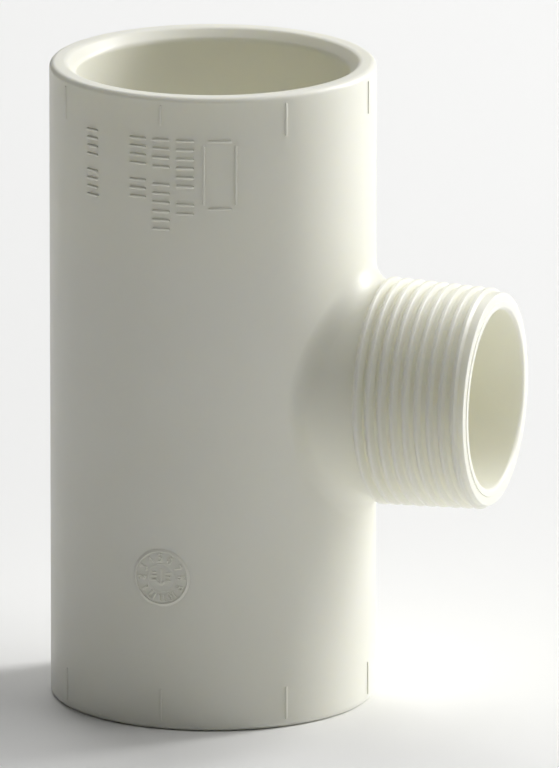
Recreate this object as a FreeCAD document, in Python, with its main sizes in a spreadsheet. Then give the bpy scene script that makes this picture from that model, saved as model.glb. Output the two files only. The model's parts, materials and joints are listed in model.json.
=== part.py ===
import FreeCAD, Part
import math
import os
import Sketcher

# A rigid PVC pressure tee: two plain sockets in line for solvent-cemented pipe and one side outlet that
# carries a male taper pipe thread. The real fitting is a single moulding, so it is divided here where its
# job changes, and each stretch is a closed solid that meets the next one face to face.
#
# Frame: origin where the run axis and the branch axis cross, +Z up the run, +X out along the branch.

DRIVING_SIZES = {
    # the run: a straight barrel with a socket at each end
    "barrel_diameter": 60.2,
    "run_length": 119.8,
    "rim_rounding": 1.1,
    "socket_diameter": 50.3,
    "socket_depth": 31.0,
    "lead_in": 1.9,
    "waterway_diameter": 45.0,
    # the branch: a neck that grows out of the barrel and ends in the thread
    "branch_reach": 55.0,
    "branch_bore_diameter": 33.0,
    "root_fillet": 4.9,
    "neck_radius": 19.68,
    "neck_reach": 32.0,
    "fillet_margin": 0.2,
    # taper pipe thread, nominal size 1 1/4: eleven turns to the inch, one in sixteen on the diameter
    "thread_pitch": 2.309,
    "thread_height": 1.479,
    "gauge_major_diameter": 41.91,
    "gauge_length": 12.7,
    "diameter_taper": 0.0625,
    "crest_truncation": 0.23,
    "ridge_crest_width": 0.6,
    "ridge_root_width": 1.92,
    "thread_start": 33.25,
    "thread_end_setback": 1.0,
    "cone_setback": 0.1,
    "bore_allowance": 1.0,
    "outer_lip_rounding": 0.35,
    "inner_lip_rounding": 0.7,
    # raised alignment ticks round both rims
    "tick_count": 8,
    "tick_width": 0.4,
    "tick_rise": 0.2,
    "tick_length": 6.2,
    "tick_setback": 1.6,
    "short_tick_end": 54.4,
    # raised marks on the front of the barrel
    "mark_rise": 0.3,
    "mark_stroke": 0.5,
    "mark_top": 52.0,
    "stamp_depth": 2.0,
    "near_row_angle": -81.2,
    "near_row_height": 3.4,
    "near_row_length": 14.2,
    "middle_row_angle": -89.8,
    "middle_row_height": 3.4,
    "middle_row_length": 17.3,
    "far_row_angle": -98.5,
    "far_row_height": 3.4,
    "far_row_length": 11.5,
    "side_row_angle": -118.4,
    "side_row_height": 2.9,
    "side_row_length": 12.7,
    "frame_angle": -69.0,
    "frame_width": 6.4,
    "frame_length": 13.2,
    # the mould's date dial, lower down on the same side
    "dial_angle": -90.0,
    "dial_drop": 30.7,
    "dial_radius": 5.2,
    "dial_line": 0.3,
    "pip_length": 0.9,
    "pip_circle": 3.9,
    "arrow_length": 3.4,
    "barb_length": 1.1,
}

PIP_COUNT = 12
BARB_TURN = 38
# strokes in each group of a row of marks, from the top down
ROW_GROUPS = {"near_row": (6, 2), "middle_row": (4, 6), "far_row": (4, 3), "side_row": (4, 4)}


class Size:
    """A length that knows both its value in millimetres and its spreadsheet expression."""

    def __init__(self, value, text):
        self.value = value
        self.text = text

    def combine(self, other, sign, value):
        text = other.text if isinstance(other, Size) else str(other)
        return Size(value, "(" + self.text + " " + sign + " " + text + ")")

    def __add__(self, other):
        return self.combine(other, "+", self.value + plain(other))

    def __sub__(self, other):
        return self.combine(other, "-", self.value - plain(other))

    def __mul__(self, other):
        return self.combine(other, "*", self.value * plain(other))

    def __truediv__(self, other):
        return self.combine(other, "/", self.value / plain(other))


def plain(size):
    return size.value if isinstance(size, Size) else size


doc = FreeCAD.newDocument("pvc_tee")
sheet = doc.addObject("Spreadsheet::Sheet", "dims")
size = {}
for row, (alias, number) in enumerate(DRIVING_SIZES.items(), start=1):
    sheet.set("A" + str(row), alias)
    sheet.set("B" + str(row), str(number))
    sheet.setAlias("B" + str(row), alias)
    size[alias] = Size(number, "dims." + alias)
doc.recompute()

barrel_radius = size["barrel_diameter"] / 2
half_run = size["run_length"] / 2
seat_height = half_run - size["socket_depth"]
waterway_radius = size["waterway_diameter"] / 2
branch_bore_radius = size["branch_bore_diameter"] / 2
radius_taper = size["diameter_taper"] / 2


def major_radius(reach):
    """Basic major radius of the taper thread at a distance along the branch axis."""
    from_gauge = size["branch_reach"] - size["gauge_length"] - reach
    return size["gauge_major_diameter"] / 2 + radius_taper * from_gauge


def minor_radius(reach):
    return major_radius(reach) - size["thread_height"]


def crest_radius(reach):
    return major_radius(reach) - size["crest_truncation"]


# ---------------------------------------------------------------- helpers for bodies, sketches and features


def origin_plane(body, role):
    return next(f for f in body.Origin.OriginFeatures if f.Role == role)


def new_body(name):
    body = doc.addObject("PartDesign::Body", name)
    body.Label = name
    return body


def new_sketch(body, name, role, offset=None):
    """A sketch on one of the body's own origin planes, moved out along the plane's normal if asked."""
    sketch = body.newObject("Sketcher::SketchObject", name)
    sketch.AttachmentSupport = [(origin_plane(body, role), "")]
    sketch.MapMode = "FlatFace"
    if offset is not None:
        sketch.AttachmentOffset = FreeCAD.Placement(FreeCAD.Vector(0, 0, plain(offset)), FreeCAD.Rotation())
        sketch.setExpression(".AttachmentOffset.Base.z", offset.text)
    return sketch


def pin_point(sketch, geometry, point, place, name):
    """Hold a sketch point at a signed place that the sheet drives."""
    for axis, coordinate in zip("XY", place):
        amount = plain(coordinate)
        if amount == 0:
            # a zero distance is held on the other axis line: -2 is the upright one and -1 the level one
            line = -2 if axis == "X" else -1
            sketch.addConstraint(Sketcher.Constraint("PointOnObject", geometry, point, line))
            continue
        label = name + "_" + axis.lower()
        kind = "Distance" + axis
        index = sketch.addConstraint(Sketcher.Constraint(kind, -1, 1, geometry, point, amount))
        sketch.renameConstraint(index, label)
        if isinstance(coordinate, Size):
            sketch.setExpression("Constraints." + label, coordinate.text)


def draw_polygon(sketch, places):
    """A closed outline of straight lines through the given places."""
    count = len(places)
    vectors = [FreeCAD.Vector(plain(x), plain(y), 0) for x, y in places]
    for i in range(count):
        sketch.addGeometry(Part.LineSegment(vectors[i], vectors[(i + 1) % count]), False)
    for i in range(count):
        sketch.addConstraint(Sketcher.Constraint("Coincident", i, 2, (i + 1) % count, 1))
    for i, place in enumerate(places):
        pin_point(sketch, i, 1, place, "corner" + str(i))


def draw_circle(sketch, radius):
    """A circle about the sketch's origin."""
    circle = Part.Circle(FreeCAD.Vector(0, 0, 0), FreeCAD.Vector(0, 0, 1), plain(radius))
    sketch.addGeometry(circle, False)
    sketch.addConstraint(Sketcher.Constraint("Coincident", 0, 3, -1, 1))
    index = sketch.addConstraint(Sketcher.Constraint("Radius", 0, plain(radius)))
    sketch.renameConstraint(index, "radius")
    sketch.setExpression("Constraints.radius", radius.text)


def feature(body, kind, name, sketch, length=None, **options):
    """Add a sketch-based feature and its length, then check that it changed the solid's volume."""
    before = body.Shape.Volume if body.Tip else 0.0
    made = body.newObject("PartDesign::" + kind, name)
    made.Profile = sketch
    for key, value in options.items():
        setattr(made, key, value)
    if length is not None:
        made.setExpression("Length", length.text)
    sketch.Visibility = False
    doc.recompute()
    change = body.Shape.Volume - before
    adds = kind in ("Pad", "Revolution", "AdditiveHelix")
    if (change > 0) != adds:
        raise RuntimeError(name + " changed the volume the wrong way: " + str(change))
    return made


def dress(body, kind, name, edges, amount):
    """A fillet or chamfer on the named edges of the body's tip."""
    base = body.Tip
    made = body.newObject("PartDesign::" + kind, name)
    made.Base = (base, edges)
    made.setExpression("Radius" if kind == "Fillet" else "Size", amount.text)
    doc.recompute()
    return made


def edges_where(shape, test):
    """Names of the edges all of whose sampled points pass the test."""
    names = []
    for index, edge in enumerate(shape.Edges, start=1):
        if all(test(point) for point in edge.discretize(Number=7)):
            names.append("Edge" + str(index))
    if not names:
        raise RuntimeError("no edge passes the test")
    return names


def close(value, target, tolerance=0.01):
    return abs(value - plain(target)) < tolerance


# ---------------------------------------------------------------- the run


def socket(name, end):
    """A plain socket: the pipe's bore with a lead-in, and a rounded outer rim. End is +1 above, -1 below."""
    body = new_body(name)
    profile = new_sketch(body, name + "_profile", "XZ_Plane")
    inner = size["socket_diameter"] / 2
    near = seat_height * end
    far = half_run * end
    draw_polygon(profile, [(inner, near), (barrel_radius, near), (barrel_radius, far), (inner, far)])
    feature(body, "Revolution", name + "_ring", profile, ReferenceAxis=(profile, ["V_Axis"]), Angle=360)

    def on_rim(radius):
        return lambda p: close(math.hypot(p.x, p.y), radius) and close(p.z, far)

    outer = edges_where(body.Shape, on_rim(barrel_radius))
    dress(body, "Fillet", name + "_rim", outer, size["rim_rounding"])
    mouth = edges_where(body.Shape, on_rim(inner))
    dress(body, "Chamfer", name + "_lead_in", mouth, size["lead_in"])
    return body


def branch_root(body, tag):
    """Barrel and neck run together with a fillet round the joint, still solid all through."""
    barrel = new_sketch(body, tag + "_barrel_circle", "XY_Plane")
    draw_circle(barrel, barrel_radius)
    feature(body, "Pad", tag + "_barrel", barrel, seat_height * 2, Midplane=True)
    neck = new_sketch(body, tag + "_neck_circle", "YZ_Plane")
    draw_circle(neck, size["neck_radius"])
    reach = barrel_radius + size["root_fillet"] + size["fillet_margin"]
    feature(body, "Pad", tag + "_neck", neck, reach)

    def at_joint(p):
        on_barrel = close(math.hypot(p.x, p.y), barrel_radius)
        return on_barrel and close(math.hypot(p.y, p.z), size["neck_radius"]) and p.x > 0

    joint = edges_where(body.Shape, at_joint)
    dress(body, "Fillet", tag + "_root_fillet", joint, size["root_fillet"])


def run_body():
    """The middle of the run: stop shoulders for both pipes, the waterway, and the root of the branch."""
    body = new_body("run_body")
    branch_root(body, "run")
    trim = new_sketch(body, "run_trim_circle", "YZ_Plane", size["neck_reach"])
    draw_circle(trim, barrel_radius)
    feature(body, "Pocket", "run_trim", trim, size["root_fillet"] * 2, Reversed=True)
    waterway = new_sketch(body, "run_waterway_circle", "XY_Plane")
    draw_circle(waterway, waterway_radius)
    feature(body, "Pocket", "run_waterway", waterway, size["run_length"], Midplane=True)
    outlet = new_sketch(body, "run_outlet_circle", "YZ_Plane")
    draw_circle(outlet, branch_bore_radius)
    feature(body, "Pocket", "run_outlet", outlet, size["branch_reach"], Reversed=True)
    return body


# ---------------------------------------------------------------- the branch


def spigot_core():
    """The outer end of the branch: the fillet's tail, the tapered core of the thread and the mouth."""
    name = "spigot_core"
    body = new_body(name)
    branch_root(body, "spigot")
    inward = new_sketch(body, "spigot_trim_circle", "YZ_Plane", size["neck_reach"])
    draw_circle(inward, size["run_length"])
    feature(body, "Pocket", "spigot_trim", inward, size["run_length"])

    cone = new_sketch(body, "spigot_cone_profile", "XZ_Plane")
    start = size["neck_reach"] + size["cone_setback"]
    end = size["branch_reach"]
    inside = branch_bore_radius - size["bore_allowance"]
    outside = [(end, minor_radius(end)), (start, minor_radius(start))]
    draw_polygon(cone, [(start, inside), (end, inside)] + outside)
    feature(body, "Revolution", "spigot_cone", cone, ReferenceAxis=(cone, ["H_Axis"]), Angle=360)
    outlet = new_sketch(body, "spigot_outlet_circle", "YZ_Plane")
    draw_circle(outlet, branch_bore_radius)
    feature(body, "Pocket", "spigot_outlet", outlet, size["run_length"], Reversed=True)

    def on_mouth(radius):
        return lambda p: close(math.hypot(p.y, p.z), radius) and close(p.x, end)

    outer_lip = edges_where(body.Shape, on_mouth(minor_radius(end)))
    dress(body, "Fillet", "spigot_outer_lip", outer_lip, size["outer_lip_rounding"])
    inner_lip = edges_where(body.Shape, on_mouth(branch_bore_radius))
    dress(body, "Fillet", "spigot_inner_lip", inner_lip, size["inner_lip_rounding"])
    return body


def thread_ridge():
    """The helical ridge of the taper thread, right-handed, seated on the core's cone all the way."""
    body = new_body("thread_ridge_blank")
    profile = new_sketch(body, "thread_ridge_profile", "XY_Plane")
    middle = size["thread_start"]
    left_foot = middle - size["ridge_root_width"] / 2
    right_foot = middle + size["ridge_root_width"] / 2
    left_crest = middle - size["ridge_crest_width"] / 2
    right_crest = middle + size["ridge_crest_width"] / 2
    draw_polygon(
        profile,
        [
            (left_foot, minor_radius(left_foot)),
            (right_foot, minor_radius(right_foot)),
            (right_crest, crest_radius(right_crest)),
            (left_crest, crest_radius(left_crest)),
        ],
    )
    coil = feature(
        body,
        "AdditiveHelix",
        "thread_ridge_coil",
        profile,
        ReferenceAxis=(profile, ["H_Axis"]),
        Mode="pitch-height-angle",
        Angle=-math.degrees(math.atan(plain(radius_taper))),
    )
    coil.setExpression("Pitch", "dims.thread_pitch")
    reach = size["branch_reach"] - size["thread_end_setback"] - middle
    coil.setExpression("Height", reach.text)
    doc.recompute()
    return body


def trimmed_ridge(ridge, core):
    """The ridge less the two slivers where its first turn meets the fillet's tail."""
    cut = doc.addObject("Part::Cut", "thread_ridge")
    cut.Base = ridge
    cut.Tool = core
    cut.Label = "thread_ridge"
    doc.recompute()
    return cut


# ---------------------------------------------------------------- raised details on the barrel


def alignment_ticks(name, end):
    """Fine raised lines at even steps round one rim, which show when two fittings are turned in line."""
    body = new_body(name)
    profile = new_sketch(body, name + "_profile", "XZ_Plane")
    near = (half_run - size["tick_setback"]) * end
    far = (half_run - size["tick_setback"] - size["tick_length"]) * end
    crown = barrel_radius + size["tick_rise"]
    draw_polygon(profile, [(barrel_radius, near), (crown, near), (crown, far), (barrel_radius, far)])
    first = feature(body, "Pad", name + "_first", profile, size["tick_width"], Midplane=True)
    ring = body.newObject("PartDesign::PolarPattern", name + "_ring")
    ring.Originals = [first]
    ring.Axis = (profile, ["V_Axis"])
    ring.Angle = 360
    ring.setExpression("Occurrences", "dims.tick_count")
    body.Tip = ring
    doc.recompute()
    return body


def upper_ticks():
    """The upper ticks, of which the front one stops short where the marked panel of the mould begins."""
    name = "upper_alignment_ticks"
    body = alignment_ticks(name, 1)
    panel = new_sketch(body, name + "_panel", "XZ_Plane")
    aside = size["tick_width"]
    left, right = aside * -1, aside
    top = size["short_tick_end"]
    draw_polygon(panel, [(left, seat_height), (right, seat_height), (right, top), (left, top)])
    feature(body, "Pocket", name + "_short_front_tick", panel, size["barrel_diameter"], Reversed=True)
    return body


def stamp_bar(name, angle, aside, height, turn, width, tall):
    """A straight stroke that stands across the barrel's wall, later cut down to its raised skin.

    Its middle lies at the given angle round the run and height along it, moved aside in the wall's
    tangent plane and turned in that plane. Before the turn, width lies round the wall and tall along it.
    """
    bar = doc.addObject("Part::Box", name)
    bar.setExpression("Length", "dims.stamp_depth")
    bar.setExpression("Width", width.text)
    bar.setExpression("Height", tall.text)
    half_depth = plain(size["stamp_depth"]) / 2
    corner = FreeCAD.Vector(-half_depth, -plain(width) / 2, -plain(tall) / 2)
    around = FreeCAD.Rotation(FreeCAD.Vector(0, 0, 1), angle)
    on_wall = FreeCAD.Vector(plain(barrel_radius), aside, 0)
    turned = FreeCAD.Placement(on_wall, FreeCAD.Rotation(FreeCAD.Vector(1, 0, 0), turn))
    centred = FreeCAD.Placement(corner, FreeCAD.Rotation())
    seat = FreeCAD.Placement(FreeCAD.Vector(0, 0, height), around)
    bar.Placement = seat.multiply(turned).multiply(centred)
    return bar


def raised_skin(name):
    """The thin tube just outside the barrel that gives every stamped mark its rise."""
    tubes = []
    for part, radius in (("outer", barrel_radius + size["mark_rise"]), ("inner", barrel_radius)):
        tube = doc.addObject("Part::Cylinder", name + "_" + part)
        tube.setExpression("Radius", radius.text)
        tube.setExpression("Height", "dims.run_length")
        tube.setExpression(".Placement.Base.z", (half_run * -1).text)
        tubes.append(tube)
    skin = doc.addObject("Part::Cut", name)
    skin.Base, skin.Tool = tubes
    return skin


def raised_marks(name, stamps):
    """All the given stamps as one group of separate raised solids."""
    group = doc.addObject("Part::Compound", name + "_stamps")
    group.Links = stamps
    marks = doc.addObject("Part::Common", name)
    marks.Base = group
    marks.Tool = raised_skin(name + "_skin")
    marks.Label = name
    doc.recompute()
    return marks


def all_row_stamps():
    """The rows of plain strokes that run down the barrel, in groups with a stroke's gap between them."""
    stroke = size["mark_stroke"]
    stamps = []
    for row, groups in ROW_GROUPS.items():
        steps = sum(groups) + len(groups) - 2
        pitch = plain((size[row + "_length"] - stroke) / steps)
        height = plain(size["mark_top"] - stroke / 2)
        angle = plain(size[row + "_angle"])
        for group in groups:
            for _ in range(group):
                name = "mark_stroke" + str(len(stamps) + 1)
                stamps.append(stamp_bar(name, angle, 0, height, 0, size[row + "_height"], stroke))
                height -= pitch
            height -= pitch
    return stamps


def frame_stamps():
    """A plain frame of four strokes with open corners."""
    stroke = size["mark_stroke"]
    angle = plain(size["frame_angle"])
    middle = plain(size["mark_top"] - size["frame_length"] / 2)
    half_length = plain((size["frame_length"] - stroke) / 2)
    sweep = math.degrees(plain((size["frame_width"] - stroke) / barrel_radius) / 2)
    across = size["frame_width"] - stroke * 4
    along = size["frame_length"] - stroke * 4
    stamps = []
    for side in (-1, 1):
        level = "frame_level" + str(side + 2)
        upright = "frame_upright" + str(side + 2)
        stamps.append(stamp_bar(level, angle, 0, middle + side * half_length, 0, across, stroke))
        stamps.append(stamp_bar(upright, angle + side * sweep, 0, middle, 0, stroke, along))
    return stamps


def dial_stamps():
    """The date dial: a ring line, a pip for each month and an arrow at the middle that points down."""
    angle = plain(size["dial_angle"])
    height = -plain(size["dial_drop"])
    line = size["dial_line"]
    turned_out = FreeCAD.Rotation(FreeCAD.Vector(0, 1, 0), 90)
    facing = FreeCAD.Rotation(FreeCAD.Vector(0, 0, 1), angle).multiply(turned_out)
    discs = []
    for part, radius in (("outer", size["dial_radius"]), ("inner", size["dial_radius"] - line)):
        disc = doc.addObject("Part::Cylinder", "dial_disc_" + part)
        disc.setExpression("Radius", radius.text)
        disc.setExpression("Height", "dims.barrel_diameter")
        disc.Placement = FreeCAD.Placement(FreeCAD.Vector(0, 0, height), facing)
        discs.append(disc)
    ring = doc.addObject("Part::Cut", "dial_ring")
    ring.Base, ring.Tool = discs
    stamps = [ring]
    for pip in range(PIP_COUNT):
        turn = math.radians(pip * 360 / PIP_COUNT)
        aside = plain(size["pip_circle"]) * math.sin(turn)
        above = height + plain(size["pip_circle"]) * math.cos(turn)
        name = "dial_pip" + str(pip + 1)
        stamps.append(stamp_bar(name, angle, aside, above, -math.degrees(turn), line, size["pip_length"]))
    stamps.append(stamp_bar("dial_arrow_shaft", angle, 0, height, 0, line, size["arrow_length"]))
    tip = height - plain(size["arrow_length"]) / 2
    half_barb = plain(size["barb_length"]) / 2
    lean = math.radians(BARB_TURN)
    for side in (-1, 1):
        # each barb starts beside the shaft, so that the strokes stay separate solids
        aside = side * (plain(line) + half_barb * math.sin(lean))
        above = tip + half_barb * math.cos(lean)
        name = "dial_arrow_barb" + str(side + 2)
        stamps.append(stamp_bar(name, angle, aside, above, -side * BARB_TURN, line, size["barb_length"]))
    return stamps


# ---------------------------------------------------------------- assembly, checks and files

core = spigot_core()
nodes = {
    "upper_socket": socket("upper_socket", 1),
    "lower_socket": socket("lower_socket", -1),
    "run_body": run_body(),
    "spigot_core": core,
    "thread_ridge": trimmed_ridge(thread_ridge(), core),
    "upper_alignment_ticks": upper_ticks(),
    "lower_alignment_ticks": alignment_ticks("lower_alignment_ticks", -1),
    "marking_bars": raised_marks("marking_bars", all_row_stamps() + frame_stamps()),
    "date_dial": raised_marks("date_dial", dial_stamps()),
}
doc.recompute()

for item in doc.Objects:
    if "Invalid" in item.State or "Error" in item.State:
        raise RuntimeError(item.Name + " did not recompute: " + str(item.State))
os.makedirs("parts", exist_ok=True)
for name, node in nodes.items():
    if node.Shape.isNull() or not node.Shape.isValid() or not node.Shape.Solids:
        raise RuntimeError(name + " has no valid solid")
for name, node in nodes.items():
    node.Shape.exportStep("parts/" + name + ".step")
    print(name, len(node.Shape.Solids), "solids", round(node.Shape.Volume, 2), "mm3")
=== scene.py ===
"""Looks for a rigid PVC pressure tee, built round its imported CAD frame.

The tee is one moulding, so one seamless skin stands for its five CAD stretches. The raised details on the
barrel are pieces of their own that sit on that skin. Shapes are worked out in millimetres in the CAD frame:
+Z runs up the barrel and +X runs out along the threaded branch.
"""

import json
import math

import bmesh
import bpy
import numpy as np
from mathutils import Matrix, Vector


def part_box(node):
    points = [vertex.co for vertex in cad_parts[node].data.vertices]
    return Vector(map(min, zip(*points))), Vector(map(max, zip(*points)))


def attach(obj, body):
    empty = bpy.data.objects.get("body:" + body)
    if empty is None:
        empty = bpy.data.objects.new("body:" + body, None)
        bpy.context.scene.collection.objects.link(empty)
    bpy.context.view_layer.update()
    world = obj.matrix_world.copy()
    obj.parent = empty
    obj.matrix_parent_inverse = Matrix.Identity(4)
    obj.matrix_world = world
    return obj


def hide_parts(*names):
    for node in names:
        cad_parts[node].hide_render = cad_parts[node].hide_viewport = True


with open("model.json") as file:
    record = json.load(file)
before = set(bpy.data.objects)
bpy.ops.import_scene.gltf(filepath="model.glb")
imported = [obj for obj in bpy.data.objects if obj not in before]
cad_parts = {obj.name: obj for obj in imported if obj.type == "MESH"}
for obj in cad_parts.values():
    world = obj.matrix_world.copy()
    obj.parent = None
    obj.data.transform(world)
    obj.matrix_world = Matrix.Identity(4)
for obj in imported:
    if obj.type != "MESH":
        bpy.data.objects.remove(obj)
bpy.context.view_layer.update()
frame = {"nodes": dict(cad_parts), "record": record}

MM = 0.001


# ---------------------------------------------------------------- sizes read from the frame, in millimetres


def node_box(node):
    """Lowest and highest corner of a CAD node, in millimetres."""
    low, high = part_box(node)
    return np.array(low) / MM, np.array(high) / MM


def mount_radius(name):
    return next(m["dims"]["r_mm"] for m in frame["record"]["mounts"] if m["name"] == name)


BARREL_R = node_box("lower_socket")[1][0]
HALF_RUN = node_box("upper_socket")[1][2]
SEAT_Z = node_box("upper_socket")[0][2]
BRANCH_END = node_box("spigot_core")[1][0]
SOCKET_R = mount_radius("upper_socket_bore")
WATERWAY_R = mount_radius("run_waterway")
BRANCH_BORE_R = mount_radius("branch_bore")

# edges of the run
RIM_ROUNDING = 1.1
LEAD_IN = 1.9
SMALL_EDGE = 0.35
LEAD_IN_ROUNDING = 1.5

# root and neck of the branch
NECK_R = 19.68
ROOT_FILLET = 4.9
BORE_EDGE = 0.6

# taper pipe thread: pitch, basic height, and major radius at the gauge plane
PITCH = 2.309
THREAD_HEIGHT = 1.479
GAUGE_MAJOR_R = 20.955
GAUGE_LENGTH = 12.7
RADIUS_TAPER = 1 / 32
CREST_TRUNCATION = 0.23
RIDGE_ROOT_WIDTH = 1.92
RIDGE_CREST_WIDTH = 0.6
THREAD_START = 33.25
THREAD_RUN_IN = math.radians(50)
CREST_ROUNDING = 0.2
CHAMFER_ROUNDING = 0.14
THREAD_ROOT_ROUNDING = 0.14
CORE_BLEND = (31.9, 33.4)
CORE_ROUNDING = 0.12
LEAD_END = CORE_BLEND[0] + 0.25
CHAMFER_END = BRANCH_END - 0.8
CHAMFER_SLOPE = 1.7
OUTER_LIP = 0.15
SHELF_DROP = 0.2
SHELF_R = 18.0
SHELF_EDGE = 0.06
INNER_LIP = 0.7

# how finely the skin is divided
COLUMNS = 160
WINDOW_COLUMNS = 48
WINDOW_ROWS = 48
OUTER_WINDOW_Z = 30.0
INNER_WINDOW_Z = 24.0
RIDGES_BEFORE_START = 2
RIDGE_ROWS = (0.19, 0.24, 0.28, 0.32, 0.36, 0.41, 0.66, 0.86, 0.91, 0.96, 1.01, 1.06)
FILLET_SHARE = 0.56
FILLET_ROWS = 10
LEAD_ROWS = 14
BORE_ROWS = 12
BORE_EDGE_ROWS = 6
LIP_STEPS = 6
INNER_LIP_STEPS = 8
ROW_GAP = 0.03
LONGEST_STEP = 2.5
DEGREES_PER_STEP = 11
STRAIGHT_COSINE = 0.9999
WINDOW_STEPS = 7
WINDOW_BUNCHING = 1.25
FILLET_PASSES = 8


# ---------------------------------------------------------------- small mathematics


def soft_min(a, b, width):
    """The lower of two values, rounded over where they come within width of each other."""
    return np.minimum(a, b) - np.maximum(width - np.abs(a - b), 0) ** 2 / (4 * width)


def soft_max(a, b, width):
    return -soft_min(-a, -b, width)


def smooth_step(value, start, end):
    share = np.clip((value - start) / (end - start), 0, 1)
    return share * share * (3 - 2 * share)


def unit(vectors):
    return vectors / np.linalg.norm(vectors, axis=-1, keepdims=True)


# ---------------------------------------------------------------- a skin of rings with exact normals


class Skin:
    """Rings of points with their exact normals, joined into one mesh by quads."""

    def __init__(self):
        self.points = []
        self.normals = []
        self.faces = []
        self.count = 0

    def add(self, points, normals):
        """Store points and return their numbers, in the same arrangement."""
        points = np.asarray(points, float)
        shape = points.shape[:-1]
        self.points.append(points.reshape(-1, 3))
        self.normals.append(np.asarray(normals, float).reshape(-1, 3))
        numbers = np.arange(self.count, self.count + int(np.prod(shape))).reshape(shape)
        self.count += numbers.size
        return numbers

    def join(self, first, second, closed):
        """Quads between two rings of the same length."""
        follow = np.roll if closed else (lambda ring, _: ring[1:])
        here = slice(None) if closed else slice(None, -1)
        quads = [first[here], follow(first, -1), follow(second, -1), second[here]]
        self.faces.append(np.stack(quads, axis=1))

    def join_all(self, rings, closed=True):
        for first, second in zip(rings[:-1], rings[1:]):
            self.join(first, second, closed)

    def zip_columns(self, columns, shift):
        """Join columns side by side, and the last to the first.

        A column is a list of (key, point number) with rising keys. Points with the same key are
        neighbours. The first column's keys are lowered by shift where it follows the last.
        """
        quads, triangles = [], []
        first_again = [(key - shift, number) for key, number in columns[0]]
        for left, right in zip(columns, columns[1:] + [first_again]):
            i = j = 0
            while i + 1 < len(left) or j + 1 < len(right):
                left_key, left_next = left[i + 1] if i + 1 < len(left) else (math.inf, None)
                right_key, right_next = right[j + 1] if j + 1 < len(right) else (math.inf, None)
                here = [left[i][1], right[j][1]]
                if left_key == right_key:
                    quads.append(here + [right_next, left_next])
                else:
                    triangles.append(here + [left_next if left_key < right_key else right_next])
                i += left_key <= right_key
                j += right_key <= left_key
        self.faces += [np.array(quads), np.array(triangles)]

    def make(self, name, material):
        """The finished mesh object, in metres, with every face turned outwards."""
        points = np.concatenate(self.points)
        normals = unit(np.concatenate(self.normals))
        faces = []
        for group in self.faces:
            corners = points[group]
            facing = np.cross(corners[:, 2] - corners[:, 0], corners[:, -1] - corners[:, 1])
            inward = np.einsum("ij,ij->i", facing, normals[group].sum(axis=1)) < 0
            group[inward] = group[inward][:, ::-1]
            faces += group.tolist()
        return mesh_object(name, points, faces, material, normals)


def mesh_object(name, points, faces, material, normals=None):
    """A smooth-shaded mesh object from points in millimetres."""
    mesh = bpy.data.meshes.new(name)
    mesh.from_pydata((np.asarray(points) * MM).tolist(), [], faces)
    mesh.polygons.foreach_set("use_smooth", [True] * len(mesh.polygons))
    mesh.materials.append(material)
    if normals is not None:
        mesh.normals_split_custom_set_from_vertices(normals.tolist())
    mesh.update()
    piece = bpy.data.objects.new(name, mesh)
    bpy.context.scene.collection.objects.link(piece)
    return piece


def rounded_path(corners):
    """Points and normals along a path of straight runs with rounded corners.

    Each corner is (radius from the axis, height, rounding). The material lies on the left of the path.
    """
    places = [np.array(corner[:2], float) for corner in corners]
    path = []
    for i, here in enumerate(places):
        rounding = corners[i][2]
        if i in (0, len(places) - 1) or rounding == 0:
            along = places[1] - here if i == 0 else here - places[i - 1]
            side = unit(np.array([along[1], -along[0]]))
            path.append((here, side))
            continue
        before = unit(here - places[i - 1])
        after = unit(places[i + 1] - here)
        turn = before[0] * after[1] - before[1] * after[0]
        angle = math.atan2(turn, float(before @ after))
        cut = rounding * math.tan(abs(angle) / 2)
        start_side = np.array([before[1], -before[0]])
        centre = here - before * cut - start_side * rounding * math.copysign(1, angle)
        steps = max(3, round(abs(math.degrees(angle)) / DEGREES_PER_STEP))
        for k in range(steps + 1):
            sweep = angle * k / steps
            side = np.array([
                start_side[0] * math.cos(sweep) - start_side[1] * math.sin(sweep),
                start_side[0] * math.sin(sweep) + start_side[1] * math.cos(sweep),
            ])
            path.append((centre + side * rounding * math.copysign(1, angle), side))
    points = [path[0]]
    for (a, side_a), (b, side_b) in zip(path[:-1], path[1:]):
        straight = side_a @ side_b > STRAIGHT_COSINE
        parts = max(1, math.ceil(np.linalg.norm(b - a) / LONGEST_STEP)) if straight else 1
        for k in range(1, parts + 1):
            points.append((a + (b - a) * k / parts, side_b))
    return np.array([p for p, _ in points]), np.array([s for _, s in points])


# ---------------------------------------------------------------- the tee's one moulding

COLUMN_ANGLES = np.arange(COLUMNS) * 2 * math.pi / COLUMNS


def lathe(skin, corners):
    """Turn a path about the run's axis and return its rings."""
    places, sides = rounded_path(corners)
    around = COLUMN_ANGLES[None, :]
    ones = np.ones_like(around)
    radius, height = places[:, :1], places[:, 1:]
    points = np.stack([radius * np.cos(around), radius * np.sin(around), height * ones], axis=-1)
    out, up = sides[:, :1], sides[:, 1:]
    normals = np.stack([out * np.cos(around), out * np.sin(around), up * ones], axis=-1)
    return skin.add(points, normals)


def end_cap(skin, end):
    """From the outer window's edge over one rim, down the socket and the shoulder to the inner window."""
    corners = [
        (BARREL_R, OUTER_WINDOW_Z * end, 0),
        (BARREL_R, HALF_RUN * end, RIM_ROUNDING),
        (SOCKET_R + LEAD_IN, HALF_RUN * end, LEAD_IN_ROUNDING),
        (SOCKET_R, (HALF_RUN - LEAD_IN) * end, LEAD_IN_ROUNDING),
        (SOCKET_R, SEAT_Z * end, SMALL_EDGE),
        (WATERWAY_R, SEAT_Z * end, SMALL_EDGE),
        (WATERWAY_R, INNER_WINDOW_Z * end, 0),
    ]
    if end < 0:
        corners.reverse()
    rings = lathe(skin, corners)
    skin.join_all(rings)
    return (rings[0], rings[-1]) if end > 0 else (rings[-1], rings[0])


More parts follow.
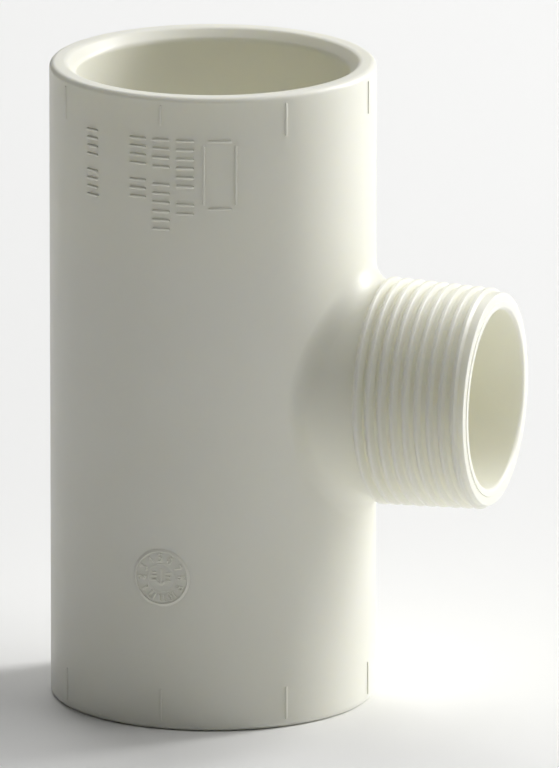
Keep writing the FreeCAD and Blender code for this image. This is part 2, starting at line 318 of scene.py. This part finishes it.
def band(skin, radius, top, bottom, facing):
    """The barrel's wall beside the branch's window, between the two caps' edge rings.

    Returns the window's border as a ring of point numbers that starts at +Y and turns towards +Z.
    """
    half = WINDOW_COLUMNS // 2
    beside = np.arange(half, COLUMNS - half + 1)
    heights = np.linspace(OUTER_WINDOW_Z if facing > 0 else INNER_WINDOW_Z, 0, WINDOW_ROWS // 2 + 1)
    heights = np.concatenate([heights, -heights[-2::-1]])
    angles = COLUMN_ANGLES[beside]
    inner_rows = []
    for height in heights[1:-1]:
        direction = np.stack([np.cos(angles), np.sin(angles), 0 * angles], axis=-1)
        points = direction * radius + np.array([0, 0, height])
        inner_rows.append(skin.add(points, direction * facing))
    rows = [top[beside]] + inner_rows + [bottom[beside]]
    skin.join_all(rows, closed=False)
    across = (np.arange(half, -half - 1, -1)) % COLUMNS
    plus_y = [row[0] for row in rows[::-1]]
    minus_y = [row[-1] for row in rows]
    border = plus_y[:-1] + list(top[across][:-1]) + minus_y[:-1] + list(bottom[across[::-1]][:-1])
    return np.roll(np.array(border), -WINDOW_ROWS // 2)


def border_angles():
    """Angles round the branch axis, from +Y towards +Z, at which the window's border is divided."""
    half_width = BARREL_R * COLUMN_ANGLES[WINDOW_COLUMNS // 2]
    side = np.linspace(-1, 1, WINDOW_ROWS + 1)[:-1]
    level = np.linspace(1, -1, WINDOW_COLUMNS + 1)[:-1]
    across = np.concatenate([0 * side + 1, level, 0 * side - 1, -level]) * half_width
    upward = np.concatenate([side, 0 * level + 1, -side, 0 * level - 1]) * OUTER_WINDOW_Z
    angles = np.unwrap(np.arctan2(upward, across))
    return np.roll(angles, -WINDOW_ROWS // 2) % (2 * math.pi)


def window(skin, radius, facing, hole, border):
    """Fill the barrel's wall between a round hole and the window's border."""
    points = np.concatenate(skin.points)
    edge_points, hole_points = points[border], points[hole]

    def unroll(places):
        return np.stack([np.arctan2(places[:, 1], places[:, 0]), places[:, 2]], axis=-1)

    inner, outer = unroll(hole_points), unroll(edge_points)
    rings = [hole]
    for k in range(1, WINDOW_STEPS):
        share = (k / WINDOW_STEPS) ** WINDOW_BUNCHING
        flat = inner + (outer - inner) * share
        direction = np.stack([np.cos(flat[:, 0]), np.sin(flat[:, 0]), 0 * flat[:, 0]], axis=-1)
        places = direction * radius
        places[:, 2] = flat[:, 1]
        rings.append(skin.add(places, direction * facing))
    rings.append(border)
    skin.join_all(rings)


def rolled_edge(wall_r, tube_r, ball_r, side, turn, share):
    """The surface a ball leaves as it rolls along the joint of the barrel's wall and the branch's tube.

    Side is +1 for the fillet outside, where the ball touches both from without, and -1 for the rounded
    edge inside. Turn is the angle round the branch and share runs from the wall (0) to the tube (1).
    Returns points and outward normals.
    """
    centre_r = wall_r + ball_r
    across = (tube_r + ball_r) * np.cos(turn)
    upward = (tube_r + ball_r) * np.sin(turn)
    reach = np.sqrt(centre_r**2 - across**2)
    centre = np.stack([reach, across, upward], axis=-1)
    to_wall = np.stack([-reach, -across, 0 * turn], axis=-1) / centre_r
    to_tube = np.stack([0 * turn, -np.cos(turn), -np.sin(turn)], axis=-1)
    between = np.arccos(np.clip(np.einsum("...i,...i->...", to_wall, to_tube), -1, 1))[..., None]
    share = np.asarray(share)[..., None]
    mixed = np.sin(between * (1 - share)) * to_wall + np.sin(between * share) * to_tube
    direction = mixed / np.sin(between)
    return centre + direction * ball_r, -side * direction


def fillet_radius(reach, angle):
    """Distance from the branch axis to the root fillet, at a reach along that axis and an angle round it."""
    turn = angle
    centre_r = BARREL_R + ROOT_FILLET
    for _ in range(FILLET_PASSES):
        centre_x = np.sqrt(centre_r**2 - ((NECK_R + ROOT_FILLET) * np.cos(turn)) ** 2)
        between = np.arccos(np.clip((NECK_R + ROOT_FILLET) * np.cos(turn) ** 2 / centre_r, -1, 1))
        lift = np.clip((centre_x - reach) * np.sin(between) * centre_r / (ROOT_FILLET * centre_x), 0, 1)
        share = 1 - np.arcsin(lift) / between
        places, _ = rolled_edge(BARREL_R, NECK_R, ROOT_FILLET, 1, turn, share)
        miss = np.arctan2(places[..., 2], places[..., 1]) - angle
        turn = turn - (miss + math.pi) % (2 * math.pi) + math.pi
    return np.hypot(places[..., 1], places[..., 2])


def ridge_height(reach, angle):
    """Height of the thread's ridge above its root: right-handed, cut back by the end chamfer."""
    turns = (reach - THREAD_START) / PITCH - angle / (2 * math.pi)
    ridge = np.round(turns)
    aside = np.abs(turns - ridge) * PITCH
    full = THREAD_HEIGHT - CREST_TRUNCATION
    slope = full / ((RIDGE_ROOT_WIDTH - RIDGE_CREST_WIDTH) / 2)
    flank = (RIDGE_ROOT_WIDTH / 2 - aside) * slope
    chamfer = (CHAMFER_END - reach) * CHAMFER_SLOPE
    crest = soft_min(soft_min(full, flank, CREST_ROUNDING), chamfer, CHAMFER_ROUNDING)
    height = soft_max(0, crest, THREAD_ROOT_ROUNDING)
    return height * smooth_step(angle + 2 * math.pi * ridge, 0, THREAD_RUN_IN)


def branch_radius(reach, angle):
    """Outer radius of the branch: fillet, neck, then the thread's tapered core with its ridge."""
    root = fillet_radius(reach, angle)
    major = GAUGE_MAJOR_R + RADIUS_TAPER * (BRANCH_END - GAUGE_LENGTH - reach)
    core = major - THREAD_HEIGHT
    share = smooth_step(reach, *CORE_BLEND)
    threaded = core * share + NECK_R * (1 - share) + ridge_height(reach, angle)
    return soft_max(root, threaded, CORE_ROUNDING)


def branch_rings(skin, reaches, angles):
    """Rings of the branch's outside, given the reach of each point."""
    small = 1e-3
    tiny_turn = 1e-4
    radius = branch_radius(reaches, angles)
    slope = (branch_radius(reaches + small, angles) - branch_radius(reaches - small, angles)) / (2 * small)
    swing = branch_radius(reaches, angles + tiny_turn) - branch_radius(reaches, angles - tiny_turn)
    swing = swing / (2 * tiny_turn) / radius
    cosine, sine = np.cos(angles), np.sin(angles)
    points = np.stack([reaches, radius * cosine, radius * sine], axis=-1)
    normals = np.stack([-slope, cosine + swing * sine, sine - swing * cosine], axis=-1)
    return skin.add(points, unit(normals))


def thread(skin, angles, start_ring, start, end_ring, end):
    """The threaded length, on rows that follow the helix so that every crest stays even."""
    offsets = np.array([-PITCH / 2, *(-x for x in RIDGE_ROWS[::-1]), 0, *RIDGE_ROWS])
    ridges = np.arange(-RIDGES_BEFORE_START, math.ceil((end - THREAD_START) / PITCH) + 1)
    at_zero = (THREAD_START + ridges[:, None] * PITCH + offsets).ravel()
    reaches = at_zero[:, None] + PITCH * angles / (2 * math.pi)
    inside = (reaches > start + ROW_GAP) & (reaches < end - ROW_GAP)
    turned = np.broadcast_to(angles, reaches.shape)
    numbers = np.full(reaches.shape, -1)
    numbers[inside] = branch_rings(skin, reaches[inside], turned[inside])
    columns = []
    for column in range(len(angles)):
        rows = np.flatnonzero(inside[:, column])
        middle = list(zip(rows.tolist(), numbers[rows, column].tolist()))
        columns.append([(-math.inf, int(start_ring[column])), *middle, (math.inf, int(end_ring[column]))])
    skin.zip_columns(columns, len(offsets))


def around_branch(skin, reach, radius, angles, along, outward):
    """One ring about the branch axis, whose normal leans along the axis and outwards as given."""
    cosine, sine = np.cos(angles), np.sin(angles)
    ones = np.ones_like(angles)
    points = np.stack([reach * ones, radius * cosine, radius * sine], axis=-1)
    normals = np.stack([along * ones, outward * cosine, outward * sine], axis=-1)
    return skin.add(points, normals)


def branch(skin, outer_border, inner_border):
    """Root fillet, neck, thread, mouth and bore, joined to the windows in both walls of the barrel."""
    turn = border_angles()
    fillet_rings = []
    for share in np.linspace(0, FILLET_SHARE, FILLET_ROWS):
        points, normals = rolled_edge(BARREL_R, NECK_R, ROOT_FILLET, 1, turn, share + 0 * turn)
        fillet_rings.append(skin.add(points, normals))
    window(skin, BARREL_R, 1, fillet_rings[0], outer_border)
    skin.join_all(fillet_rings)

    # from part way down the fillet the branch is a height field over reach and angle
    starts = points[:, 0]
    angles = np.unwrap(np.arctan2(points[:, 2], points[:, 1]))
    angles = np.maximum(angles - angles[0], 0)
    lead_shares = np.linspace(0, 1, LEAD_ROWS + 1)[1:, None]
    lead = starts + (LEAD_END - starts) * lead_shares
    lead_rings = branch_rings(skin, lead, np.broadcast_to(angles, lead.shape))
    skin.join_all([fillet_rings[-1]] + list(lead_rings))
    lip_start = BRANCH_END - SHELF_DROP - OUTER_LIP
    lip_ring = branch_rings(skin, np.full_like(angles, lip_start), angles)
    thread(skin, angles, lead_rings[-1], LEAD_END, lip_ring, lip_start)

    # mouth: outer lip, a shelf just behind the end, the flat end, inner lip
    land_r = float(np.mean(branch_radius(np.full_like(angles, lip_start), angles)))
    shelf = BRANCH_END - SHELF_DROP
    mouth = [lip_ring]
    for k in range(1, LIP_STEPS + 1):
        sweep = math.pi / 2 * k / LIP_STEPS
        ring_reach = lip_start + OUTER_LIP * math.sin(sweep)
        ring_r = land_r - OUTER_LIP * (1 - math.cos(sweep))
        mouth.append(around_branch(skin, ring_reach, ring_r, angles, math.sin(sweep), math.cos(sweep)))
    mouth.append(around_branch(skin, shelf, SHELF_R + SHELF_EDGE, angles, 1, 0))
    mouth.append(around_branch(skin, shelf, SHELF_R, angles, 1, 1))
    mouth.append(around_branch(skin, shelf + SHELF_EDGE, SHELF_R, angles, 0, 1))
    mouth.append(around_branch(skin, BRANCH_END - SHELF_EDGE, SHELF_R, angles, 0, 1))
    mouth.append(around_branch(skin, BRANCH_END, SHELF_R - SHELF_EDGE, angles, 1, 0))
    for k in range(INNER_LIP_STEPS + 1):
        sweep = math.pi / 2 * k / INNER_LIP_STEPS
        ring_reach = BRANCH_END - INNER_LIP * (1 - math.cos(sweep))
        ring_r = BRANCH_BORE_R + INNER_LIP * (1 - math.sin(sweep))
        mouth.append(around_branch(skin, ring_reach, ring_r, angles, math.cos(sweep), -math.sin(sweep)))

    # bore, down to the rounded edge where it meets the waterway
    edge_points, edge_normals = [], []
    for share in np.linspace(1, 0, BORE_EDGE_ROWS):
        points, normals = rolled_edge(WATERWAY_R, BRANCH_BORE_R, BORE_EDGE, -1, turn, share + 0 * turn)
        edge_points.append(points)
        edge_normals.append(normals)
    bore_start = BRANCH_END - INNER_LIP
    for k in range(1, BORE_ROWS):
        share = k / BORE_ROWS
        swung = angles + ((turn - angles + math.pi) % (2 * math.pi) - math.pi) * share
        reach = bore_start + (edge_points[0][:, 0] - bore_start) * share
        mouth.append(around_branch(skin, reach, BRANCH_BORE_R, swung, 0, -1))
    for points, normals in zip(edge_points, edge_normals):
        mouth.append(skin.add(points, normals))
    skin.join_all(mouth)
    window(skin, WATERWAY_R, -1, mouth[-1], inner_border)


def tee_moulding(material):
    skin = Skin()
    upper_outer, upper_inner = end_cap(skin, 1)
    lower_outer, lower_inner = end_cap(skin, -1)
    outer_border = band(skin, BARREL_R, upper_outer, lower_outer, 1)
    inner_border = band(skin, WATERWAY_R, upper_inner, lower_inner, -1)
    branch(skin, outer_border, inner_border)
    return skin.make("tee_moulding", material)


# ---------------------------------------------------------------- raised details on the barrel's wall

BURIED = 0.12
WELD = 0.001
FINE_WELD = 0.0005
SECTION_POINTS = 9
SECTION_WIDTH_POWER = 0.75
SECTION_LIFT_POWER = 0.7
STROKE_END_STEPS = 5
STROKE_END_START = 0.12
DIAL_NUMBERS = 12
DIAL_TURN = 5.1
DIAL_LOWER = 0.25
NUMBER_CIRCLE = 3.8
DIAL_RISE = 0.28
DIAL_STROKE = 0.46
DIAL_RIM = (
    (4.84, 0), (4.87, 0.12), (4.91, 0.17), (4.96, 0.19), (5.02, 0.18), (5.14, 0.1), (5.3, 0.03), (5.45, 0),
)
HUB_RIM = ((2.5, 0), (2.56, 0.02), (2.64, 0.02), (2.7, 0))
DIGIT_WIDTHS = {1: 0.82, 2: 0.52}
DIGIT_TALL = 1.3
DIGIT_STROKE = 0.38
DIGIT_SPACING = 0.86
DIGITS = {
    "0": ((0.3, 0), (0.7, 0), (1, 0.25), (1, 0.75), (0.7, 1), (0.3, 1), (0, 0.75), (0, 0.25), (0.3, 0)),
    "1": ((0.1, 0.75), (0.5, 1), (0.5, 0)),
    "2": ((0, 0.8), (0.3, 1), (0.8, 1), (1, 0.7), (0, 0), (1, 0)),
    "3": ((0, 1), (1, 1), (0.5, 0.6), (1, 0.35), (0.75, 0), (0, 0)),
    "4": ((0.75, 0), (0.75, 1), (0, 0.3), (1, 0.3)),
    "5": ((1, 1), (0.1, 1), (0.05, 0.55), (0.7, 0.6), (1, 0.3), (0.7, 0), (0, 0)),
    "6": ((0.9, 1), (0.3, 0.85), (0, 0.4), (0.3, 0), (0.7, 0), (1, 0.3), (0.7, 0.58), (0.1, 0.5)),
    "7": ((0, 1), (1, 1), (0.4, 0)),
    "8": (
        (0.5, 0.54), (0.1, 0.78), (0.5, 1), (0.9, 0.78), (0.5, 0.54),
        (0, 0.26), (0.5, 0), (1, 0.26), (0.5, 0.54),
    ),
    "9": ((0.1, 0), (0.7, 0.15), (1, 0.6), (0.7, 1), (0.3, 1), (0, 0.7), (0.3, 0.42), (0.9, 0.5)),
}
RING_STEPS = 120
ARROW_TOP = 1.8
ARROW_TIP = 1.4
ARROW_BARB = (0.75, 0.6)
YEAR_BARS = (-0.45, 0.25, 0.95)
YEAR_BAR_START = 0.85
YEAR_BAR_LENGTH = 0.95
TICK_WIDENING = 1.35
PANEL_TOP = 54.4
PANEL_ANGLES = (-90, -60)
PANEL_LINE_WIDTH = 0.2
PANEL_LINE_RISE = 0.03


class OnWall:
    """Small closed solids laid out flat, then wrapped on the barrel.

    Flat points are (distance round the wall from +X, height, lift above the wall), in millimetres.
    """

    def __init__(self):
        self.points = []
        self.faces = []

    def add(self, flat, faces):
        start = sum(len(p) for p in self.points)
        self.points.append(np.asarray(flat, float))
        self.faces += [[start + corner for corner in face] for face in faces]

    def sweep(self, path, widths, rises):
        """A soft-topped ridge along a flat path, with a width and a rise at each of its points."""
        path = np.asarray(path, float)
        count = len(path)
        ahead = unit(np.gradient(path, axis=0))
        aside = np.stack([-ahead[:, 1], ahead[:, 0]], axis=-1)
        sweep = np.linspace(0, math.pi, SECTION_POINTS)
        across = np.sign(np.cos(sweep)) * np.abs(np.cos(sweep)) ** SECTION_WIDTH_POWER
        lift = np.sin(sweep) ** SECTION_LIFT_POWER
        across = np.concatenate([across, [-1, 1]]) / 2
        flat = np.zeros((count, len(across), 3))
        flat[..., :2] = path[:, None] + aside[:, None] * (across[None, :, None] * widths[:, None, None])
        flat[:, :SECTION_POINTS, 2] = lift[None, :] * rises[:, None]
        flat[:, SECTION_POINTS:, 2] = -BURIED
        around = len(across)
        faces = []
        for i in range(count - 1):
            j = i + 1
            for k in range(around):
                n = (k + 1) % around
                faces.append([i * around + k, j * around + k, j * around + n, i * around + n])
        faces.append(list(range(around)))
        faces.append([(count - 1) * around + k for k in range(around)][::-1])
        self.add(flat.reshape(-1, 3), faces)

    def stroke(self, start, end, width, rise):
        """A straight ridge with rounded ends."""
        start, end = np.array(start, float), np.array(end, float)
        along = unit(end - start)
        half = width / 2
        sweeps = np.linspace(STROKE_END_START, 1, STROKE_END_STEPS) * math.pi / 2
        outward = half * (1 - np.cos(sweeps))
        swell = np.sin(sweeps)
        places = [start + along * out for out in outward] + [end - along * out for out in outward[::-1]]
        scales = np.concatenate([swell, swell[::-1]])
        self.sweep(places, width * scales, rise * np.sqrt(scales))

    def ring(self, centre, profile):
        """A ring whose section is given as (radius, lift) points, from the inside to the outside."""
        turns = np.linspace(0, 2 * math.pi, RING_STEPS, endpoint=False)
        profile = np.array([(profile[0][0], -BURIED), *profile, (profile[-1][0], -BURIED)])
        flat = np.zeros((RING_STEPS, len(profile), 3))
        flat[..., 0] = centre[0] + np.cos(turns)[:, None] * profile[None, :, 0]
        flat[..., 1] = centre[1] + np.sin(turns)[:, None] * profile[None, :, 0]
        flat[..., 2] = profile[None, :, 1]
        around = len(profile)
        faces = []
        for i in range(RING_STEPS):
            j = (i + 1) % RING_STEPS
            for k in range(around):
                n = (k + 1) % around
                faces.append([i * around + k, j * around + k, j * around + n, i * around + n])
        self.add(flat.reshape(-1, 3), faces)

    def number(self, text, centre, turn):
        """A raised number of plain strokes, whose top points outwards along the given turn from upright."""
        along = np.array([math.cos(turn), -math.sin(turn)])
        upward = np.array([math.sin(turn), math.cos(turn)])
        digit_size = (DIGIT_WIDTHS[len(text)], DIGIT_TALL)
        for place, digit in enumerate(text):
            middle = centre + along * (place - (len(text) - 1) / 2) * DIGIT_SPACING
            corners = middle + (np.array(DIGITS[digit]) - 0.5) * digit_size @ np.array([along, upward])
            for start, end in zip(corners[:-1], corners[1:]):
                self.stroke(start, end, DIGIT_STROKE, DIAL_RISE)

    def make(self, name, material):
        flat = np.concatenate(self.points)
        angle = flat[:, 0] / BARREL_R
        radius = BARREL_R + flat[:, 2]
        points = np.stack([radius * np.cos(angle), radius * np.sin(angle), flat[:, 1]], axis=-1)
        piece = mesh_object(name, points, self.faces, material)
        tidy = bmesh.new()
        tidy.from_mesh(piece.data)
        bmesh.ops.remove_doubles(tidy, verts=tidy.verts, dist=FINE_WELD * MM)
        bmesh.ops.recalc_face_normals(tidy, faces=tidy.faces)
        tidy.to_mesh(piece.data)
        tidy.free()
        return piece


def islands(node):
    """Lowest and highest (distance round the wall, height, lift) of each separate solid of a CAD node."""
    solids = bmesh.new()
    solids.from_mesh(frame["nodes"][node].data)
    bmesh.ops.remove_doubles(solids, verts=solids.verts, dist=WELD * MM)
    waiting = set(solids.verts)
    boxes = []
    while waiting:
        group = []
        edge_of_search = [min(waiting, key=lambda v: v.index)]
        waiting.discard(edge_of_search[0])
        while edge_of_search:
            vertex = edge_of_search.pop()
            group.append(vertex.co / MM)
            for edge in vertex.link_edges:
                other = edge.other_vert(vertex)
                if other in waiting:
                    waiting.discard(other)
                    edge_of_search.append(other)
        corners = np.array(group)
        middle = corners.mean(axis=0)
        home = math.atan2(middle[1], middle[0])
        swing = np.arctan2(corners[:, 1], corners[:, 0]) - home
        swing = (swing + math.pi) % (2 * math.pi) - math.pi
        lift = corners[:, 0] * math.cos(home) + corners[:, 1] * math.sin(home) - BARREL_R
        flat = np.stack([(home + swing) * BARREL_R, corners[:, 2], lift], axis=-1)
        boxes.append((flat.min(axis=0), flat.max(axis=0)))
    solids.free()
    return boxes


def strokes_like(node, widening=1.0):
    """Soft-topped strokes in the places of a CAD node's plain bars."""
    wall = OnWall()
    for low, high in islands(node):
        middle = (low + high) / 2
        span = high - low
        longest = int(span[1] > span[0])
        half = np.zeros(2)
        half[longest] = span[longest] / 2
        width = span[1 - longest] * widening
        wall.stroke(middle[:2] - half, middle[:2] + half, width, high[2])
    return wall


def tick_ring(node, material):
    return strokes_like(node, TICK_WIDENING).make(node + "_raised", material)


def marks(material):
    """The rows of strokes and the frame, and the fine line at the top of the mould's marked panel."""
    wall = strokes_like("marking_bars")
    start, end = (math.radians(angle) * BARREL_R for angle in PANEL_ANGLES)
    wall.stroke((start, PANEL_TOP), (end, PANEL_TOP), PANEL_LINE_WIDTH, PANEL_LINE_RISE)
    return wall.make("marking_strokes", material)


def dial(material):
    """The mould's date dial: a ring, the numbers of the months and an arrow that points down."""
    low, high = node_box("date_dial")
    centre = np.array([-math.pi / 2 * BARREL_R, (low[2] + high[2]) / 2 - DIAL_LOWER])
    wall = OnWall()
    wall.ring(centre, DIAL_RIM)
    wall.ring(centre, HUB_RIM)
    for month in range(1, DIAL_NUMBERS + 1):
        turn = math.radians((month - DIAL_TURN) * 360 / DIAL_NUMBERS)
        place = centre + NUMBER_CIRCLE * np.array([math.sin(turn), math.cos(turn)])
        wall.number(str(month), place, turn)
    tip = centre - np.array([0, ARROW_TIP])
    wall.stroke(tip, centre + np.array([0, ARROW_TOP]), DIAL_STROKE, DIAL_RISE)
    for side in (-1, 1):
        wall.stroke(tip, tip + np.array([side, 1]) * ARROW_BARB, DIAL_STROKE, DIAL_RISE)
        for level in YEAR_BARS:
            start = centre + np.array([side * YEAR_BAR_START, level])
            wall.stroke(start, start + np.array([side * YEAR_BAR_LENGTH, 0]), DIAL_STROKE, DIAL_RISE)
    return wall.make("date_dial_raised", material)


# ---------------------------------------------------------------- materials


IVORY = (0.930, 0.920, 0.815)
IVORY_PALER = (0.945, 0.935, 0.830)
PVC_IOR = 1.53
SKIN_LIGHT = 0.45
SKIN_LIGHT_RADIUS = (1.0, 0.95, 0.75)
SKIN_LIGHT_SCALE = 3
NOISE_RANGE = (0.3, 0.7)
MOTTLE_SCALE = 55
GLOSS_SCALE = 260
GLOSS_RANGE = (0.34, 0.43)
WAVES_SCALE = 70
WAVES_HEIGHT = 0.02
GRAIN_SCALE = 2600
GRAIN_HEIGHT = 0.0022
FLOOR_WHITE = (0.96, 0.96, 0.95)
FLOOR_ROUGHNESS = 0.8


def ivory_pvc(name, skin_light):
    """Moulded rigid PVC: faint mottling, a soft gloss with fine grain, and some light under the skin."""
    material = bpy.data.materials.new(name)
    material.use_nodes = True
    nodes = material.node_tree.nodes
    links = material.node_tree.links
    shader = nodes["Principled BSDF"]
    shader.inputs["IOR"].default_value = PVC_IOR
    shader.inputs["Subsurface Weight"].default_value = skin_light
    shader.inputs["Subsurface Radius"].default_value = SKIN_LIGHT_RADIUS
    shader.inputs["Subsurface Scale"].default_value = SKIN_LIGHT_SCALE * MM
    place = nodes.new("ShaderNodeTexCoord")

    def noise(scale, detail, roughness=0.5):
        texture = nodes.new("ShaderNodeTexNoise")
        texture.inputs["Scale"].default_value = scale
        texture.inputs["Detail"].default_value = detail
        texture.inputs["Roughness"].default_value = roughness
        links.new(place.outputs["Object"], texture.inputs["Vector"])
        return texture.outputs["Fac"]

    def spread(source, low, high):
        """A noise's usual range, stretched to run from low to high."""
        reach = nodes.new("ShaderNodeMapRange")
        reach.inputs["From Min"].default_value = NOISE_RANGE[0]
        reach.inputs["From Max"].default_value = NOISE_RANGE[1]
        reach.inputs["To Min"].default_value = low
        reach.inputs["To Max"].default_value = high
        links.new(source, reach.inputs["Value"])
        return reach.outputs["Result"]

    tint = nodes.new("ShaderNodeMix")
    tint.data_type = "RGBA"
    tint.inputs["A"].default_value = (*IVORY, 1)
    tint.inputs["B"].default_value = (*IVORY_PALER, 1)
    links.new(spread(noise(MOTTLE_SCALE, detail=3), 0, 1), tint.inputs["Factor"])
    links.new(tint.outputs["Result"], shader.inputs["Base Color"])
    gloss = noise(GLOSS_SCALE, detail=4, roughness=0.6)
    links.new(spread(gloss, *GLOSS_RANGE), shader.inputs["Roughness"])

    # long shallow waves from uneven cooling, under a fine satin grain
    waves = nodes.new("ShaderNodeBump")
    waves.inputs["Strength"].default_value = 1
    waves.inputs["Distance"].default_value = WAVES_HEIGHT * MM
    links.new(noise(WAVES_SCALE, detail=1), waves.inputs["Height"])
    grain = nodes.new("ShaderNodeBump")
    grain.inputs["Strength"].default_value = 1
    grain.inputs["Distance"].default_value = GRAIN_HEIGHT * MM
    links.new(noise(GRAIN_SCALE, detail=2), grain.inputs["Height"])
    links.new(waves.outputs["Normal"], grain.inputs["Normal"])
    links.new(grain.outputs["Normal"], shader.inputs["Normal"])
    return material


def matt(name, color):
    material = bpy.data.materials.new(name)
    material.use_nodes = True
    shader = material.node_tree.nodes["Principled BSDF"]
    shader.inputs["Base Color"].default_value = (*color, 1)
    shader.inputs["Roughness"].default_value = FLOOR_ROUGHNESS
    return material


# ---------------------------------------------------------------- camera, floor and lights

CAMERA_AZIMUTH = math.radians(71.61)
CAMERA_ELEVATION = math.radians(14.3)
CAMERA_DISTANCE = 3.675
CAMERA_LENS = 933
CAMERA_SENSOR = 36
CAMERA_CLIP = 50
CAMERA_ASIDE = 12.26 * MM
CAMERA_LOWER = 1.48 * MM
FLOOR_REACH = 4.0

SOFT_BOX_DISTANCE = 2.4

# name, azimuth and elevation in degrees, width and height in metres, and power in watts
SOFT_BOXES = (
    ("key_tall", 45, 25, 0.5, 1.8, 49),
    ("key_high", 45, 60, 1.0, 1.0, 4.6),
    ("key_middle", 30, 36, 1.0, 1.0, 5),
    ("branch_top", 0, 60, 1.0, 1.0, 8.8),
    ("left_back", 120, 36, 1.0, 1.0, 8.5),
    ("back_top", 108, 70, 1.0, 1.0, 9),
    ("left_top", 225, 60, 1.0, 1.0, 2.8),
    ("front_top", 290, 78, 1.0, 1.0, 2.4),
)


def place_camera():
    back = Vector((
        math.cos(CAMERA_AZIMUTH) * math.cos(CAMERA_ELEVATION),
        -math.sin(CAMERA_AZIMUTH) * math.cos(CAMERA_ELEVATION),
        math.sin(CAMERA_ELEVATION),
    ))
    right = Vector((math.sin(CAMERA_AZIMUTH), math.cos(CAMERA_AZIMUTH), 0))
    up = back.cross(right)
    data = bpy.data.cameras.new("camera")
    data.lens = CAMERA_LENS
    data.sensor_fit = "VERTICAL"
    data.sensor_height = CAMERA_SENSOR
    data.clip_end = CAMERA_CLIP
    camera = bpy.data.objects.new("camera", data)
    bpy.context.scene.collection.objects.link(camera)
    target = right * CAMERA_ASIDE - up * CAMERA_LOWER
    camera.location = target + back * CAMERA_DISTANCE
    camera.rotation_euler = back.to_track_quat("Z", "Y").to_euler()
    bpy.context.scene.camera = camera


def lay_floor():
    level = -HALF_RUN * MM
    sides = ((-1, -1), (1, -1), (1, 1), (-1, 1))
    mesh = bpy.data.meshes.new("floor")
    mesh.from_pydata([(x * FLOOR_REACH, y * FLOOR_REACH, level) for x, y in sides], [], [(0, 1, 2, 3)])
    mesh.materials.append(matt("floor_white", FLOOR_WHITE))
    floor = bpy.data.objects.new("floor", mesh)
    bpy.context.scene.collection.objects.link(floor)


def soft_box(name, azimuth, elevation, width, tall, power):
    """A soft box that faces the tee: angles in degrees (azimuth from +X towards +Y), sizes in metres."""
    azimuth, elevation = math.radians(azimuth), math.radians(elevation)
    data = bpy.data.lights.new(name, "AREA")
    data.shape = "RECTANGLE"
    data.size = width
    data.size_y = tall
    data.energy = power
    light = bpy.data.objects.new(name, data)
    direction = Vector((
        math.cos(azimuth) * math.cos(elevation),
        math.sin(azimuth) * math.cos(elevation),
        math.sin(elevation),
    ))
    light.location = direction * SOFT_BOX_DISTANCE
    light.rotation_euler = direction.to_track_quat("Z", "Y").to_euler()
    bpy.context.scene.collection.objects.link(light)


def light_studio():
    for box in SOFT_BOXES:
        soft_box(*box)
    world = bpy.data.worlds.new("studio")
    world.use_nodes = True
    world.node_tree.nodes["Background"].inputs["Color"].default_value = (0, 0, 0, 1)
    bpy.context.scene.world = world
    bpy.context.scene.view_settings.view_transform = "Standard"


# ---------------------------------------------------------------- assembly

place_camera()
lay_floor()
light_studio()

# the raised details are too thin for light under the skin, which would darken them
ivory = ivory_pvc("ivory_pvc", SKIN_LIGHT)
ivory_raised = ivory_pvc("ivory_pvc_raised", 0)
moulding = tee_moulding(ivory)
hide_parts("upper_socket", "lower_socket", "run_body", "spigot_core", "thread_ridge")
details = {
    "upper_alignment_ticks": tick_ring("upper_alignment_ticks", ivory_raised),
    "lower_alignment_ticks": tick_ring("lower_alignment_ticks", ivory_raised),
    "marking_bars": marks(ivory_raised),
    "date_dial": dial(ivory_raised),
}
for node, piece in details.items():
    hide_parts(node)
for piece in [moulding] + list(details.values()):
    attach(piece, "root")
